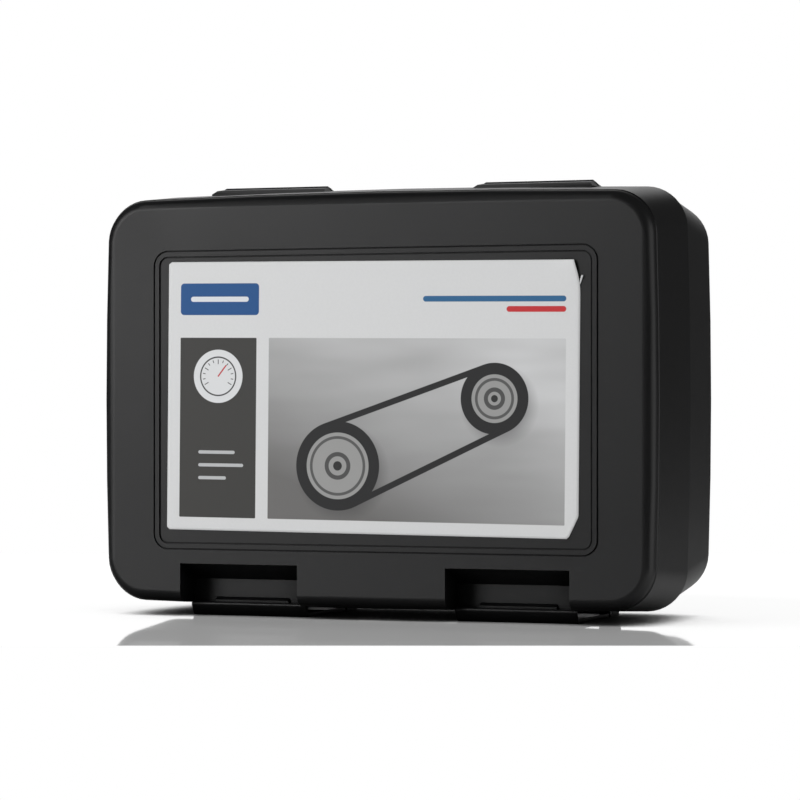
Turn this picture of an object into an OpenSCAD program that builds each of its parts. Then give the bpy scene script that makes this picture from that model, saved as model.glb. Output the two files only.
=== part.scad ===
// Moulded carrying case with a belt tension tester stored inside.
// The case is closed and stands on its latch edge. X runs to the right, Y runs from the lid
// towards the base and Z runs up. The origin is under the middle of the case.

/* [Case] */
// Width of the case over its rim
case_w = 254.8; // [235:0.2:280]
// Height of the case over its rim, without the hinges and latches
case_h = 182; // [168:0.5:196]
// Depth of the lid from its face to the rim
lid_depth = 42.5; // [40:0.5:50]
// Depth of the base from the rim to its back
base_depth = 51.5; // [50:0.5:58]
// Thickness of the moulded walls
wall = 2.4; // [2:0.1:2.8]
// How far the left and right sides bow out between their corners
side_bow = 1.8; // [0:0.1:4]
// How far the top and bottom edges bow out between their corners
end_bow = 2; // [0:0.1:2.4]

/* [Lid] */
// Depth of the rounded edge round the face of the lid
crown_round = 4.8; // [3:0.1:6]
// How far the flat face of the lid ends inside its rounded edge
crown_inset = 4.8; // [3:0.1:6]
// Height of the step between the rounded edge and the skirt
crown_step = 0.3; // [0.2:0.05:0.6]
// How far the skirt flares out at the left and right of the rim
flare_w = 2.2; // [1.5:0.1:3.4]
// How far the skirt flares out at the top and bottom of the rim
flare_h = 2.4; // [1.5:0.1:3]
// How far the middle of the face lies below the middle of the rim
face_drop = 0.5; // [0:0.1:0.8]
// Corner radius of the rounded edge round the face
crown_corner = 17.5; // [16:0.5:26]
// Corner radius of the rim
rim_corner = 17; // [15:0.5:24]

/* [Label field] */
// Width of the outer groove round the label field
field_w = 200.3; // [190:0.1:206]
// Height of the outer groove round the label field
field_h = 128; // [122:0.5:130]
// Corner radius of the outer groove
field_corner = 6.4; // [5:0.1:9]
// Distance between the outer and the inner groove
groove_pitch = 2.6; // [2:0.1:3.6]
// Width of each groove
groove_w = 0.7; // [0.4:0.1:1]
// Depth of each groove
groove_depth = 0.8; // [0.5:0.1:1]
// Depth of the field inside the inner groove
field_depth = 0.4; // [0.3:0.05:0.5]
// Width of the printed label
label_w = 185.2; // [160:0.1:187]
// Height of the printed label
label_h = 114.8; // [100:0.1:116]
// Thickness of the printed label
label_t = 0.2; // [0.1:0.05:0.25]
// How far the label is turned clockwise by hand
label_turn = 0.5; // [0:0.05:0.6]
// How far the label sits left of the middle of its field
label_left = 1.1; // [0:0.1:2]
// How far the label sits above the middle of its field
label_up = 1; // [0:0.1:2]
// Corner cut at the worn lower right corner of the label
label_cut = 5; // [2:0.5:8]

/* [Base] */
// How far the rim of the lid stands out over the base
rim_overhang = 0.7; // [0.4:0.1:1.2]
// How far the base draws in at the left and right from its rim to its rounded back edge
base_draft_w = 2.8; // [1.5:0.1:4]
// How far the base draws in at the top and bottom from its rim to its rounded back edge
base_draft_h = 4.4; // [3:0.1:5]
// Radius of the rounded edge round the back
back_round = 8; // [6:0.5:10]
// Depth of the shallow panel in the back
back_panel_depth = 0.8; // [0.5:0.1:1.2]
// Width of the plain border round the back panel
back_border = 14; // [12:0.5:20]
// Height of the locating tongue above the rim of the base
tongue_h = 1.6; // [1:0.1:2.5]
// Thickness of the locating tongue
tongue_t = 1.2; // [0.9:0.1:1.6]
// Gap between the locating tongue and the lid
tongue_gap = 0.35; // [0.25:0.05:0.5]

/* [Hinges] */
// Distance from the middle of each hinge and each latch to the side of the case
hinge_in = 66.7; // [61:0.1:73]
// Width of each hinge
hinge_w = 53.7; // [48:0.1:58]
// Outer radius of the hinge and latch knuckles
knuckle_r = 1.9; // [1.8:0.05:2.2]
// Radius of the steel pins
pin_r = 0.85; // [0.7:0.05:0.95]
// Running clearance round a pin
pin_clear = 0.05; // [0.03:0.01:0.09]
// How far the latch pins lie outside the rim
pin_rise = 0.5; // [0.4:0.1:0.9]
// Gap between neighbouring knuckles
knuckle_gap = 0.35; // [0.25:0.05:0.5]
// Number of interleaved knuckles in a hinge
knuckle_count = 5; // [5:2:7]
// Length of the lid's hinge leaf in front of the pin
leaf_front = 10; // [7:0.2:12]
// Length of the base's hinge leaf behind the pin
leaf_back = 4.6; // [4.4:0.2:7]
// Length of the sloped edge of a hinge leaf
leaf_slope = 2.4; // [1.6:0.1:2.5]
// Chamfer at the ends of a hinge
hinge_chamfer = 3; // [1:0.1:4]

/* [Latches] */
// Width of each latch
latch_w = 53.7; // [48:0.1:56]
// Distance of the latch pins behind the rim
latch_y = 17; // [14:0.5:20]
// Reach of the latch plate forward of its pin
latch_reach = 48.5; // [47:0.5:50]
// Thickness of the upturned lip
lip_t = 2; // [1.6:0.1:2.4]
// Height of the lip over the pins
lip_h = 3.9; // [3.7:0.1:4.4]
// How far the nose of the lip reaches in over the catch
nose_reach = 1.1; // [0.9:0.1:1.3]
// Depth of the finger recess behind the lip of a latch
recess_behind = 3; // [2.5:0.5:6]
// Height of the finger recess at the face of the lid
recess_h = 20.5; // [18:0.5:23]
// Gap beside a latch in its recess
latch_side_gap = 0.4; // [0.3:0.05:0.8]
// Length of the catch block in each recess
catch_w = 34; // [24:1:40]
// Width of the ears that hold a latch
ear_w = 5; // [4:0.5:6]
// How far the ears run back as standing ribs
ear_len = 10; // [8:0.5:12]

/* [Foam] */
// Gap between the foam and the walls
foam_gap = 0.4; // [0.3:0.05:0.6]
// Thickness of the foam in the base
base_foam_t = 37; // [35:0.5:38]
// Thickness of the foam in the lid
lid_foam_t = 28; // [20:0.5:30]
// Depth of foam left under the tester
foam_floor = 6; // [5:0.5:7]
// Gap between a stored piece and its pocket
pocket_gap = 0.4; // [0.3:0.05:0.6]
// Width of the finger reliefs at the ends of the tester
relief_w = 40; // [36:1:48]
// Length of the finger reliefs at the ends of the tester
relief_len = 11; // [9:0.5:12]
// Foam between the accessory pocket and what is to its left and right
accessory_border = 20; // [14:1:26]
// Height of the accessory pocket
accessory_h = 116; // [80:1:126]
// Depth of the accessory pocket
accessory_depth = 26; // [16:0.5:27]
// Corner radius of the accessory pocket
accessory_corner = 6; // [4:0.5:10]

/* [Tester] */
// Distance from the middle of the tester to the left side of the case
tester_in = 67.4; // [66:0.2:69]
// Width of the tester
tester_w = 80; // [76:0.5:84]
// Length of the tester
tester_h = 126; // [120:0.5:130]
// Thickness of the tester
tester_t = 36; // [35:0.5:37]
// Corner radius of the tester seen from the front
tester_corner = 10; // [8:0.5:12]
// Width of the chamfer round the front of the tester
front_chamfer = 7; // [5:0.5:8]
// Depth of the chamfer round the front of the tester
front_chamfer_t = 6; // [5:0.5:7]
// Thickness of the tester's front shell at its joint
front_shell_t = 18; // [17:0.5:19]
// Wall of the tester's shells
shell_wall = 2; // [1.6:0.1:2.2]
// Width of the display bezel
bezel_w = 58; // [56:0.5:60]
// Share of the tester's length that the display bezel takes
bezel_share = 0.524; // [0.49:0.002:0.54]
// Thickness of the display bezel
bezel_t = 1; // [0.8:0.1:1.2]
// Border of the bezel round the display
bezel_border = 5; // [4:0.5:6]
// Thickness of the display window
window_t = 1.2; // [1:0.1:1.4]
// Height of the middle of the display over the middle of the tester, as a share of its length
display_share = 0.143; // [0.135:0.001:0.15]
// Thickness of the display panel
panel_t = 2; // [1.6:0.1:2.4]
// Width of the circuit board
board_w = 52; // [48:0.5:53]
// Distance from the ends of the circuit board to the ends of the tester
board_end = 7; // [6:0.2:9]
// Thickness of the circuit board
board_t = 1.6; // [1.2:0.1:2]
// Radius of the keys
key_r = 4.6; // [4:0.1:5]
// Distance between neighbouring keys
key_pitch = 13.5; // [13:0.1:14.5]
// How far the keys stand proud of the front
key_rise = 1; // [0.9:0.1:1.4]
// Travel of the keys
key_travel = 0.7; // [0.4:0.1:0.8]
// Gap round a key in its hole
key_gap = 0.3; // [0.2:0.05:0.4]
// Depth of the row of keys below the middle of the tester, as a share of its length
key_share = 0.286; // [0.27:0.002:0.3]
// Thickness of the rubber keypad mat
mat_t = 1.2; // [1:0.1:1.4]
// Radius of a battery
battery_r = 7.2; // [7:0.1:7.3]
// Length of a battery
battery_len = 50; // [48:0.5:51]
// Thickness of the battery door
door_t = 2; // [1.6:0.1:2.2]
// Travel of the battery door
door_travel = 6; // [4:0.5:8]
// Thread radius of the housing screws
screw_r = 1.2; // [1:0.05:1.3]
// Radius of the socket for the measuring head
socket_r = 5; // [4.5:0.1:5.5]

/* [Measuring head] */
// Foam between the pockets of the tester and the measuring head
head_gap = 16.2; // [12:0.2:18]
// Distance from the ends of the measuring head to the top and bottom of the case
head_end = 17.5; // [16:0.5:24]
// Outer radius of the head's tube
head_r = 10; // [9.5:0.1:10.4]
// Wall of the head's tube
head_wall = 1.6; // [1.2:0.1:2]
// Length of the nose ring
nose_len = 12; // [10:0.5:14]
// Length of the cable gland
gland_len = 14; // [12:0.5:18]
// Length of the grip sleeve
grip_len = 44; // [36:1:50]
// Thickness of the grip sleeve over the tube
grip_t = 1; // [0.8:0.1:1.2]
// Radius of the lens
lens_r = 6; // [5:0.1:6.5]
// Radius of a light emitter
emitter_r = 1.5; // [1.2:0.1:1.6]

/* [Hidden] */
$fn = 48;

// Steps of a ring round each corner, along a bowed side and through a rounded edge
corner_steps = 10;
side_steps = 4;
edge_steps = 6;
full_turn = 360;
quarter = full_turn / 4;
// Every cut runs past the face that it opens by this much
over = wall / 2;
half_w = case_w / 2;
half_h = case_h / 2;
hinge_x = half_w - hinge_in;
recess_depth = lid_depth + latch_y - latch_reach + lip_t + recess_behind;
tester_x = half_w - tester_in;
head_len = case_h - 2 * head_end;
bezel_h = tester_h * bezel_share;
display_rise = tester_h * display_share;
board_h = tester_h - 2 * board_end;
key_drop = tester_h * key_share;
case_z = half_h + pin_rise + knuckle_r;
face_z = case_z - face_drop;
hinge_z = case_z + half_h;
latch_z = knuckle_r;
bore_r = pin_r + pin_clear;
rim_y = (lid_depth - base_depth) / 2;
lid_face_y = rim_y - lid_depth;
back_y = rim_y + base_depth;
pins_y = rim_y + latch_y;
bow_shares = [side_bow / half_w, end_bow / half_h];
recess_y = lid_face_y + recess_depth;
recess_top_z = latch_z + pin_rise + recess_h;

// Outline of a rounded rectangle at depth y. The bow shares pull its corners in.
function ring(hw, hh, r, y, mid, shares = [0, 0]) =
    [for (p = rounded_outline(hw, hh, r, shares == [0, 0] ? 1 : side_steps))
        [mid[0] + p[0] * (1 - shares[0] * pow(p[1] / hh, 2)), y,
         mid[1] + p[1] * (1 - shares[1] * pow(p[0] / hw, 2))]];
function rounded_outline(hw, hh, r, steps) =
    let (arcs = [for (k = [0 : 3]) corner_arc(hw, hh, r, k)])
    [for (k = [0 : 3]) each concat(arcs[k],
        [for (j = [1 : 1 : steps - 1])
            let (share = j / steps, next = arcs[(k + 1) % 4][0])
            arcs[k][corner_steps] * (1 - share) + next * share])];
function corner_arc(hw, hh, r, k) =
    let (sx = (k == 0 || k == 3) ? 1 : -1, sz = k < 2 ? 1 : -1)
    [for (i = [0 : corner_steps]) let (a = quarter * (k + i / corner_steps))
        [sx * (hw - r) + r * cos(a), sz * (hh - r) + r * sin(a)]];

// Closed solid through rings of equally many points, the first ring in front
module loft(rings) {
    n = len(rings[0]);
    m = len(rings);
    polyhedron(points = [for (ring = rings) each ring],
        faces = concat([[for (i = [n - 1 : -1 : 0]) i]],
            [for (j = [0 : m - 2], i = [0 : n - 1])
                [j * n + i, j * n + (i + 1) % n, (j + 1) * n + (i + 1) % n, (j + 1) * n + i]],
            [[for (i = [0 : n - 1]) (m - 1) * n + i]]),
        convexity = 10);
}

// Ring of the case, drawn in from the rim by one inset at its sides and another at its ends
function case_ring(inset_w, inset_h, r, y) =
    ring(half_w - inset_w, half_h - inset_h, r, y, [0, case_z], bow_shares);

// The same round the middle of the face, which lies lower than the middle of the rim
function face_ring(inset_w, inset_h, r, y) =
    ring(half_w - inset_w, half_h - face_drop - inset_h, r, y, [0, face_z], bow_shares);

// Rounded edge round the face of the lid and the skirt from there to an end behind the rim,
// both drawn in by the offset o
function crown_rings(o) =
    [for (i = [0 : edge_steps])
        let (a = quarter * i / edge_steps, draw = crown_step + crown_inset * (1 - sin(a)))
        face_ring(o + flare_w + draw, o + flare_h + draw, crown_corner - draw + crown_step - o,
            lid_face_y + o + crown_round * (1 - cos(a)))];
function skirt_rings(o, end) = [
    face_ring(o + flare_w, o + flare_h, crown_corner - crown_step - o,
        lid_face_y + o + crown_round + crown_step),
    case_ring(o, o, rim_corner - o, rim_y),
    if (end > 0) case_ring(o, o, rim_corner - o, rim_y + end)];

// Base from a start in front of its rim to its back, drawn in by the offset o
function base_rings(o, start) = concat(
    [case_ring(rim_overhang + o, rim_overhang + o, rim_corner - o, rim_y - start)], back_rings(o));
function back_rings(o) =
    [for (i = [0 : edge_steps])
        let (a = quarter * i / edge_steps, draw = back_round * (1 - cos(a)))
        case_ring(base_draft_w + rim_overhang + draw + o, base_draft_h + rim_overhang + draw + o,
            rim_corner - draw - o, back_y - o - back_round * (1 - sin(a)))];
// Inset of the outer face of the base at depth y
function base_inset(draft, y) = rim_overhang + draft * (y - rim_y) / (base_depth - back_round);

// Straight prism along X from points in Y and Z
module bar_x(points, len) rotate([quarter, 0, quarter])
    linear_extrude(height = len, center = true) polygon(points);
module rod_x(len, r) rotate([0, quarter, 0]) cylinder(h = len, r = r, center = true);
module rod_y(y, len, r) translate([0, y, 0]) rotate([-quarter, 0, 0]) cylinder(h = len, r = r);
// Plate in the plane of X and Z with its front at depth y
module plate(w, h, r, y, t, mid) translate([mid[0], y + t, mid[1]]) rotate([quarter, 0, 0])
    linear_extrude(height = t) rounded_square(w, h, r);
module rounded_square(w, h, r) {
    square([w - 2 * r, h], center = true);
    square([w, h - 2 * r], center = true);
    for (sx = [-1, 1], sz = [-1, 1]) translate([sx * (w / 2 - r), sz * (h / 2 - r)]) circle(r = r);
}
module at_sides() for (side = [-1, 1]) translate([side * hinge_x, 0, 0]) children();
module at_hinges() at_sides() translate([0, rim_y, hinge_z]) children();

// Hinges, each with knuckles of the base and the lid in turn
knuckle_pitch = hinge_w / knuckle_count;
leaf_root = (end_bow + wall) / 2;
leaf_foot_z = -flare_h / 2;
leaf_crest_z = knuckle_r / 5;
leaf_top_z = knuckle_r * 0.62;
lid_knuckles = [for (i = [1 : 2 : knuckle_count - 1]) i];
base_knuckles = [for (i = [0 : 2 : knuckle_count]) i];

module knuckles(indexes, r, grow) for (i = indexes)
    translate([(i + 1 / 2 - knuckle_count / 2) * knuckle_pitch, 0, 0])
        rod_x(knuckle_pitch - knuckle_gap + 2 * grow, r);
// Leaf that rises from the wall in a slope and runs to the pin, forward on the lid and back on the base
module hinge_leaf(dir, reach) bar_x([[0, -leaf_root], [dir * reach, -leaf_root],
    [dir * reach, leaf_foot_z], [dir * (reach - leaf_slope), leaf_crest_z],
    [dir * knuckle_r, leaf_top_z], [0, leaf_top_z]], hinge_w);
module hinge_half(dir, reach, own) intersection() {
    union() {
        hinge_leaf(dir, reach);
        knuckles(own, knuckle_r, 0);
    }
    rotate([quarter, 0, 0]) linear_extrude(height = 2 * (reach + over), center = true)
        polygon([[-hinge_w / 2, -leaf_root - over], [hinge_w / 2, -leaf_root - over],
            [hinge_w / 2, leaf_foot_z], [hinge_w / 2 - hinge_chamfer, knuckle_r + pin_clear],
            [-hinge_w / 2 + hinge_chamfer, knuckle_r + pin_clear], [-hinge_w / 2, leaf_foot_z]]);
}
module hinge_cuts(others) {
    knuckles(others, knuckle_r + knuckle_gap, knuckle_gap);
    rod_x(hinge_w + 2 * over, bore_r);
}
module hinge_pin(side) color("silver") translate([side * hinge_x, rim_y, hinge_z])
    rod_x(hinge_w - 2 * hinge_chamfer, pin_r);

// Finger recess in the lid, drawn in Y and Z and grown by the wall for the pocket round it
module recess(grow) at_sides() bar_x([
    [lid_face_y - over, recess_top_z + grow],
    [lid_face_y + recess_depth / 4, recess_top_z - recess_h / 25 + grow],
    [lid_face_y + recess_depth * 3 / 4, recess_top_z - recess_h * 0.22 + grow],
    [recess_y + grow, recess_top_z - recess_h * 0.36], [recess_y + grow, -over],
    [lid_face_y - over, -over]], latch_w + 2 * (latch_side_gap + grow));

// Catch block in the recess, with the ridge that the nose of a latch snaps behind
nose_t = lip_t * 2 / 5;
lip_in_y = pins_y - latch_reach + lip_t;
ridge_y = lip_in_y + latch_side_gap;
catch_face_y = ridge_y + nose_reach;
nose_top_z = latch_z + lip_h;
wall_out_z = latch_z + pin_rise + flare_h * (1 - recess_depth / lid_depth) + end_bow / 4;
module catch_block() at_sides() bar_x([
    [recess_y + over, nose_top_z + recess_h / 10], [recess_y, nose_top_z + recess_h / 10],
    [catch_face_y, nose_top_z + nose_t], [catch_face_y, wall_out_z + nose_t],
    [ridge_y, wall_out_z + nose_t / 2], [ridge_y, wall_out_z], [recess_y + over, wall_out_z]], catch_w);

module label_grooves() {
    for (k = [0, 1])
        let (w = field_w - 2 * k * groove_pitch, h = field_h - 2 * k * groove_pitch,
            r = field_corner - k * groove_pitch)
        difference() {
            plate(w + groove_w, h + groove_w, r + groove_w / 2, lid_face_y - over,
                over + groove_depth, [0, face_z]);
            plate(w - groove_w, h - groove_w, r - groove_w / 2, lid_face_y - 2 * over,
                3 * over + groove_depth, [0, face_z]);
        }
    plate(field_w - 2 * groove_pitch, field_h - 2 * groove_pitch, field_corner - groove_pitch,
        lid_face_y - over, over + field_depth, [0, face_z]);
}

module lid_shell() color("#1b1c1e") {
    difference() {
        union() {
            difference() {
                loft(concat(crown_rings(0), skirt_rings(0, 0)));
                difference() {
                    loft(concat(crown_rings(wall), skirt_rings(wall, over)));
                    recess(wall);
                }
                recess(0);
                label_grooves();
            }
            at_hinges() hinge_half(-1, leaf_front, lid_knuckles);
        }
        at_hinges() hinge_cuts(base_knuckles);
    }
    catch_block();
}

// Ears under the base that carry the latch pins and run back as standing ribs
ear_places = [-(latch_w - ear_w) / 2, 0, (latch_w - ear_w) / 2];
function ear_root(y) = pin_rise + base_inset(base_draft_h, pins_y + y) + wall / 2;
module latch_ears() for (x = ear_places) translate([x, 0, 0]) {
    bar_x([[0, -knuckle_r], [ear_len, -knuckle_r], [ear_len + ear_w, ear_root(ear_len + ear_w)],
        [-knuckle_r, ear_root(-knuckle_r)], [-knuckle_r, 0], [0, 0]], ear_w);
    rod_x(ear_w, knuckle_r);
}
latch_knuckle_len = (latch_w - 3 * ear_w) / 2 - 2 * knuckle_gap;
latch_knuckle_x = (latch_w - ear_w) / 4;

module base_shell() color("#1b1c1e") difference() {
    union() {
        difference() {
            loft(base_rings(0, 0));
            loft(base_rings(wall, over));
            plate(case_w - 2 * (back_round + back_border), case_h - 2 * (back_round + back_border),
                rim_corner - back_round, back_y - back_panel_depth, back_panel_depth + over, [0, case_z]);
        }
        tongue();
        at_hinges() hinge_half(1, leaf_back, base_knuckles);
        at_sides() translate([0, pins_y, latch_z]) latch_ears();
    }
    at_hinges() hinge_cuts(lid_knuckles);
    at_sides() translate([0, pins_y, latch_z]) {
        rod_x(latch_w + 2 * over, bore_r);
        for (side = [-1, 1]) translate([side * latch_knuckle_x, 0, 0])
            rod_x(latch_knuckle_len + 2 * knuckle_gap, knuckle_r + knuckle_gap);
    }
}
// Locating tongue inside the rim, stepped in from the inner wall of the base
tongue_in = wall + tongue_gap;
module tongue() difference() {
    loft([for (y = [rim_y - tongue_h, rim_y + tongue_h + tongue_t])
        case_ring(tongue_in, tongue_in, rim_corner - tongue_in, y)]);
    loft([for (y = [rim_y - tongue_h - over, rim_y + tongue_h + tongue_t + over])
        case_ring(tongue_in + tongue_t, tongue_in + tongue_t, rim_corner - tongue_in - tongue_t, y)]);
}

// Latch plate with its upturned lip and nose, turned about its pin when it opens
module latch(side) color("#17181a") translate([side * hinge_x, pins_y, latch_z]) difference() {
    union() {
        bar_x([[0, -knuckle_r], [-latch_reach + lip_t / 2, -knuckle_r],
            [-latch_reach, -knuckle_r + lip_t / 2], [-latch_reach, lip_h - lip_t / 4],
            [-latch_reach + lip_t / 4, lip_h],
            [-latch_reach + lip_t + nose_reach - nose_t / 2, lip_h],
            [-latch_reach + lip_t + nose_reach, lip_h - nose_t / 2],
            [-latch_reach + lip_t, lip_h - nose_t], [-latch_reach + lip_t, nose_t / 2],
            [-latch_reach + lip_t + nose_t / 2, 0], [0, 0]], latch_w);
        for (s = [-1, 1]) translate([s * latch_knuckle_x, 0, 0]) rod_x(latch_knuckle_len, knuckle_r);
    }
    for (x = ear_places) translate([x - ear_w / 2 - knuckle_gap, -knuckle_r * 1.7, -knuckle_r - over])
        cube([ear_w + 2 * knuckle_gap, knuckle_r * 3, 2 * (knuckle_r + over)]);
    rod_x(latch_w + 2 * over, bore_r);
}
module latch_pin(side) color("silver") translate([side * hinge_x, pins_y, latch_z])
    rod_x(latch_w - knuckle_gap, pin_r);

// Printed label, cut across its worn lower right corner
module label() color("white")
    translate([-label_left, lid_face_y + field_depth, face_z + label_up]) rotate([quarter, label_turn, 0])
    linear_extrude(height = label_t) difference() {
        rounded_square(label_w, label_h, label_cut / 3);
        translate([label_w / 2, -label_h / 2]) rotate(full_turn / 8)
            square([label_cut * 2, label_cut], center = true);
    }

// Foam inserts
foam_in = wall + foam_gap;
lid_foam_back_y = lid_face_y + foam_in + lid_foam_t;
module lid_foam() color("#303134") difference() {
    loft(concat(crown_rings(foam_in), [face_ring(foam_in + flare_w + crown_step,
        foam_in + flare_h + crown_step, crown_corner - foam_in, lid_foam_back_y)]));
    recess(foam_in);
}
foam_top_y = back_y - foam_in - base_foam_t;
pocket_floor_y = back_y - foam_in - foam_floor;
tester_back_y = pocket_floor_y - pocket_gap;
tester_face_y = tester_back_y - tester_t;
tester_mid = [-tester_x, case_z];
head_y = foam_top_y + head_r + grip_t;
pocket_r = head_r + grip_t + pocket_gap;
head_x = tester_w / 2 - tester_x + pocket_gap + head_gap + pocket_r;
pocket_sides = [head_x + pocket_r, half_w - rim_overhang - base_draft_w - wall];
accessory_x = (pocket_sides[0] + pocket_sides[1]) / 2;
accessory_w = pocket_sides[1] - pocket_sides[0] - 2 * accessory_border;
module base_foam() color("#303134") difference() {
    loft(concat([case_ring(foam_in + base_inset(base_draft_w, foam_top_y),
        foam_in + base_inset(base_draft_h, foam_top_y), rim_corner - foam_in, foam_top_y)],
        back_rings(foam_in)));
    plate(tester_w + 2 * pocket_gap, tester_h + 2 * pocket_gap, tester_corner + pocket_gap,
        foam_top_y - over, pocket_floor_y - foam_top_y + over, tester_mid);
    plate(relief_w, tester_h + 2 * relief_len, relief_len, foam_top_y - over,
        pocket_floor_y - foam_top_y + over, tester_mid);
    translate([head_x, head_y, case_z]) {
        cylinder(h = head_len + 2 * pocket_gap, r = pocket_r, center = true);
        translate([-pocket_r, foam_top_y - head_y - over, -head_len / 2 - pocket_gap])
            cube([2 * pocket_r, head_y - foam_top_y + over, head_len + 2 * pocket_gap]);
    }
    plate(accessory_w, accessory_h, accessory_corner, foam_top_y - over, accessory_depth + over,
        [accessory_x, case_z]);
}

// Shells of the tester, drawn in by the offset o and joined at a split between front and back
tester_split_y = tester_face_y + front_shell_t;
function tester_ring(inset, y) = ring(tester_w / 2 - inset, tester_h / 2 - inset,
    max(tester_corner - inset / 2, shell_wall), y, tester_mid);
function tester_front_rings(o, end) = [
    tester_ring(front_chamfer + o, tester_face_y + o),
    tester_ring(o, tester_face_y + front_chamfer_t + o), tester_ring(o, tester_split_y + end)];
function tester_back_rings(o, start) = [
    tester_ring(o, tester_split_y - start), tester_ring(o, tester_back_y - front_chamfer_t / 2 - o),
    tester_ring(front_chamfer_t / 2 + o, tester_back_y - o)];

// Stack behind the front face, from the bezel to the circuit board
ledge_y = tester_face_y + bezel_t + window_t;
front_in_y = ledge_y + shell_wall;
display_mid = tester_mid + [0, display_rise];
window_w = bezel_w - 2 * bezel_border;
window_h = bezel_h - 2 * bezel_border;
fit = pin_clear * 4;
stack_y = front_in_y + fit;
flange_t = board_t / 2;
mat_y = stack_y + flange_t + key_travel + fit;
board_y = max(mat_y + mat_t, stack_y + panel_t) + fit;
post_at = [board_w / 2 - screw_r * 3, board_h / 2 - screw_r * 3];
boss_at = [(tester_w - front_chamfer_t) / 2 - screw_r * 5, (tester_h - front_chamfer_t) / 2 - screw_r * 8];
boss_r = screw_r * 2.4;
socket_y = (tester_face_y + front_chamfer_t + tester_split_y) / 2;

module at_tester(x, z) translate([tester_mid[0] + x, 0, tester_mid[1] + z]) children();
module at_corners(at) for (sx = [-1, 1], sz = [-1, 1]) at_tester(sx * at[0], sz * at[1]) children();
module at_key(k) at_tester((k - 3 / 2) * key_pitch, -key_drop) children();

module tester_front_shell() color("#26272a") difference() {
    union() {
        difference() {
            loft(tester_front_rings(0, 0));
            difference() {
                loft(tester_front_rings(shell_wall, over));
                at_tester(-tester_w / 2, -tester_h / 2) translate([0, tester_face_y, 0])
                    cube([tester_w, front_in_y - tester_face_y, tester_h]);
            }
        }
        at_corners(post_at) rod_y(front_in_y - over, board_y - fit - front_in_y + over, screw_r * 2);
        at_corners(boss_at) rod_y(front_in_y - over, tester_split_y - front_in_y + over, boss_r);
    }
    plate(bezel_w + fit, bezel_h + fit, bezel_border, tester_face_y - over,
        ledge_y - tester_face_y + over, display_mid);
    plate(window_w, window_h, bezel_border / 2, ledge_y - over, shell_wall + 2 * over, display_mid);
    for (k = [0 : 3]) at_key(k)
        rod_y(tester_face_y - over, front_in_y - tester_face_y + 2 * over, key_r + key_gap);
    at_corners(boss_at) rod_y(front_in_y + shell_wall, front_shell_t, screw_r + pin_clear);
    at_tester(0, tester_h / 2 - 2 * shell_wall) translate([0, socket_y, 0])
        cylinder(h = 4 * shell_wall, r = socket_r + pin_clear);
}

// Battery compartment in the back shell
pack_w = 4 * battery_r + 3 * fit;
pack_h = battery_len + 4 * door_t;
pack_z = -tester_h / 2 + 2 * shell_wall + pack_h / 2;
door_y = tester_back_y - door_t;
battery_y = door_y - fit - battery_r;
pack_front_y = battery_y - battery_r - fit;
door_w = pack_w + 2 * shell_wall;
door_h = pack_z + pack_h / 2 + tester_h / 2 + shell_wall;

module tester_back_shell() color("#1f2023") difference() {
    union() {
        difference() {
            loft(tester_back_rings(0, 0));
            difference() {
                loft(tester_back_rings(shell_wall, over));
                at_tester(-door_w / 2, pack_z - pack_h / 2 - shell_wall)
                    translate([0, pack_front_y - shell_wall, 0])
                    cube([door_w, tester_back_y - pack_front_y + shell_wall, pack_h + 2 * shell_wall]);
            }
            at_tester(-pack_w / 2, pack_z - pack_h / 2) translate([0, pack_front_y, 0])
                cube([pack_w, tester_back_y - pack_front_y + over, pack_h]);
        }
        at_corners(boss_at) rod_y(tester_split_y, tester_back_y - tester_split_y - over, boss_r);
    }
    at_tester(-door_w / 2 - fit, -tester_h / 2 - over) translate([0, door_y - fit, 0])
        cube([door_w + 2 * fit, door_t + fit + over, door_h + over + fit]);
    at_corners(boss_at) {
        rod_y(tester_split_y - over, tester_t, screw_r + 2 * pin_clear);
        rod_y(tester_back_y - 2 * screw_r, 2 * screw_r + over, screw_r * 2.1);
    }
}
module tester_battery_door() color("#1f2023") intersection() {
    loft(tester_back_rings(0, 0));
    difference() {
        at_tester(-door_w / 2, -tester_h / 2) translate([0, door_y, 0]) cube([door_w, door_t, door_h]);
        for (k = [0 : 3]) at_tester(-door_w / 4, k * door_t * 2 + pack_z - pack_h / 2)
            translate([0, tester_back_y - door_t / 4, 0]) cube([door_w / 2, door_t, door_t]);
    }
}
module tester_bezel() color("#b9bcc0") difference() {
    plate(bezel_w, bezel_h, bezel_border, tester_face_y, bezel_t, display_mid);
    plate(window_w, window_h, bezel_border / 2, tester_face_y - over, bezel_t + 2 * over, display_mid);
}
module tester_display_window() color([0.75, 0.82, 0.85, 0.5])
    plate(bezel_w - fit, bezel_h - fit, bezel_border, tester_face_y + bezel_t, window_t, display_mid);
module tester_display_panel() color("#8d9a8b")
    plate(window_w + bezel_border, window_h + bezel_border, panel_t / 2, stack_y, panel_t, display_mid);
module tester_circuit_board() color("#1f5a36") difference() {
    plate(board_w, board_h, board_t, board_y, board_t, tester_mid);
    at_corners(post_at) rod_y(board_y - over, board_t + 2 * over, screw_r);
    at_tester(-socket_r - fit, tester_h / 2 - 2 * socket_r - fit) translate([0, board_y - over, 0])
        cube([2 * (socket_r + fit), board_t + 2 * over, 3 * socket_r]);
}
module tester_keypad_mat() color("#3b3d40") plate(4 * key_pitch, 2 * (key_pitch - key_r), key_r / 2,
    board_y - fit - mat_t, mat_t, tester_mid - [0, key_drop]);
module tester_key(k, cap) color(cap) at_key(k) {
    rod_y(tester_face_y - key_rise, stack_y + flange_t - tester_face_y + key_rise, key_r);
    rod_y(stack_y, flange_t, key_r + 4 * key_gap);
}
module at_batteries(z) for (side = [-1, 1])
    at_tester(side * (battery_r + fit / 2), z) translate([0, battery_y, 0]) children();
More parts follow.
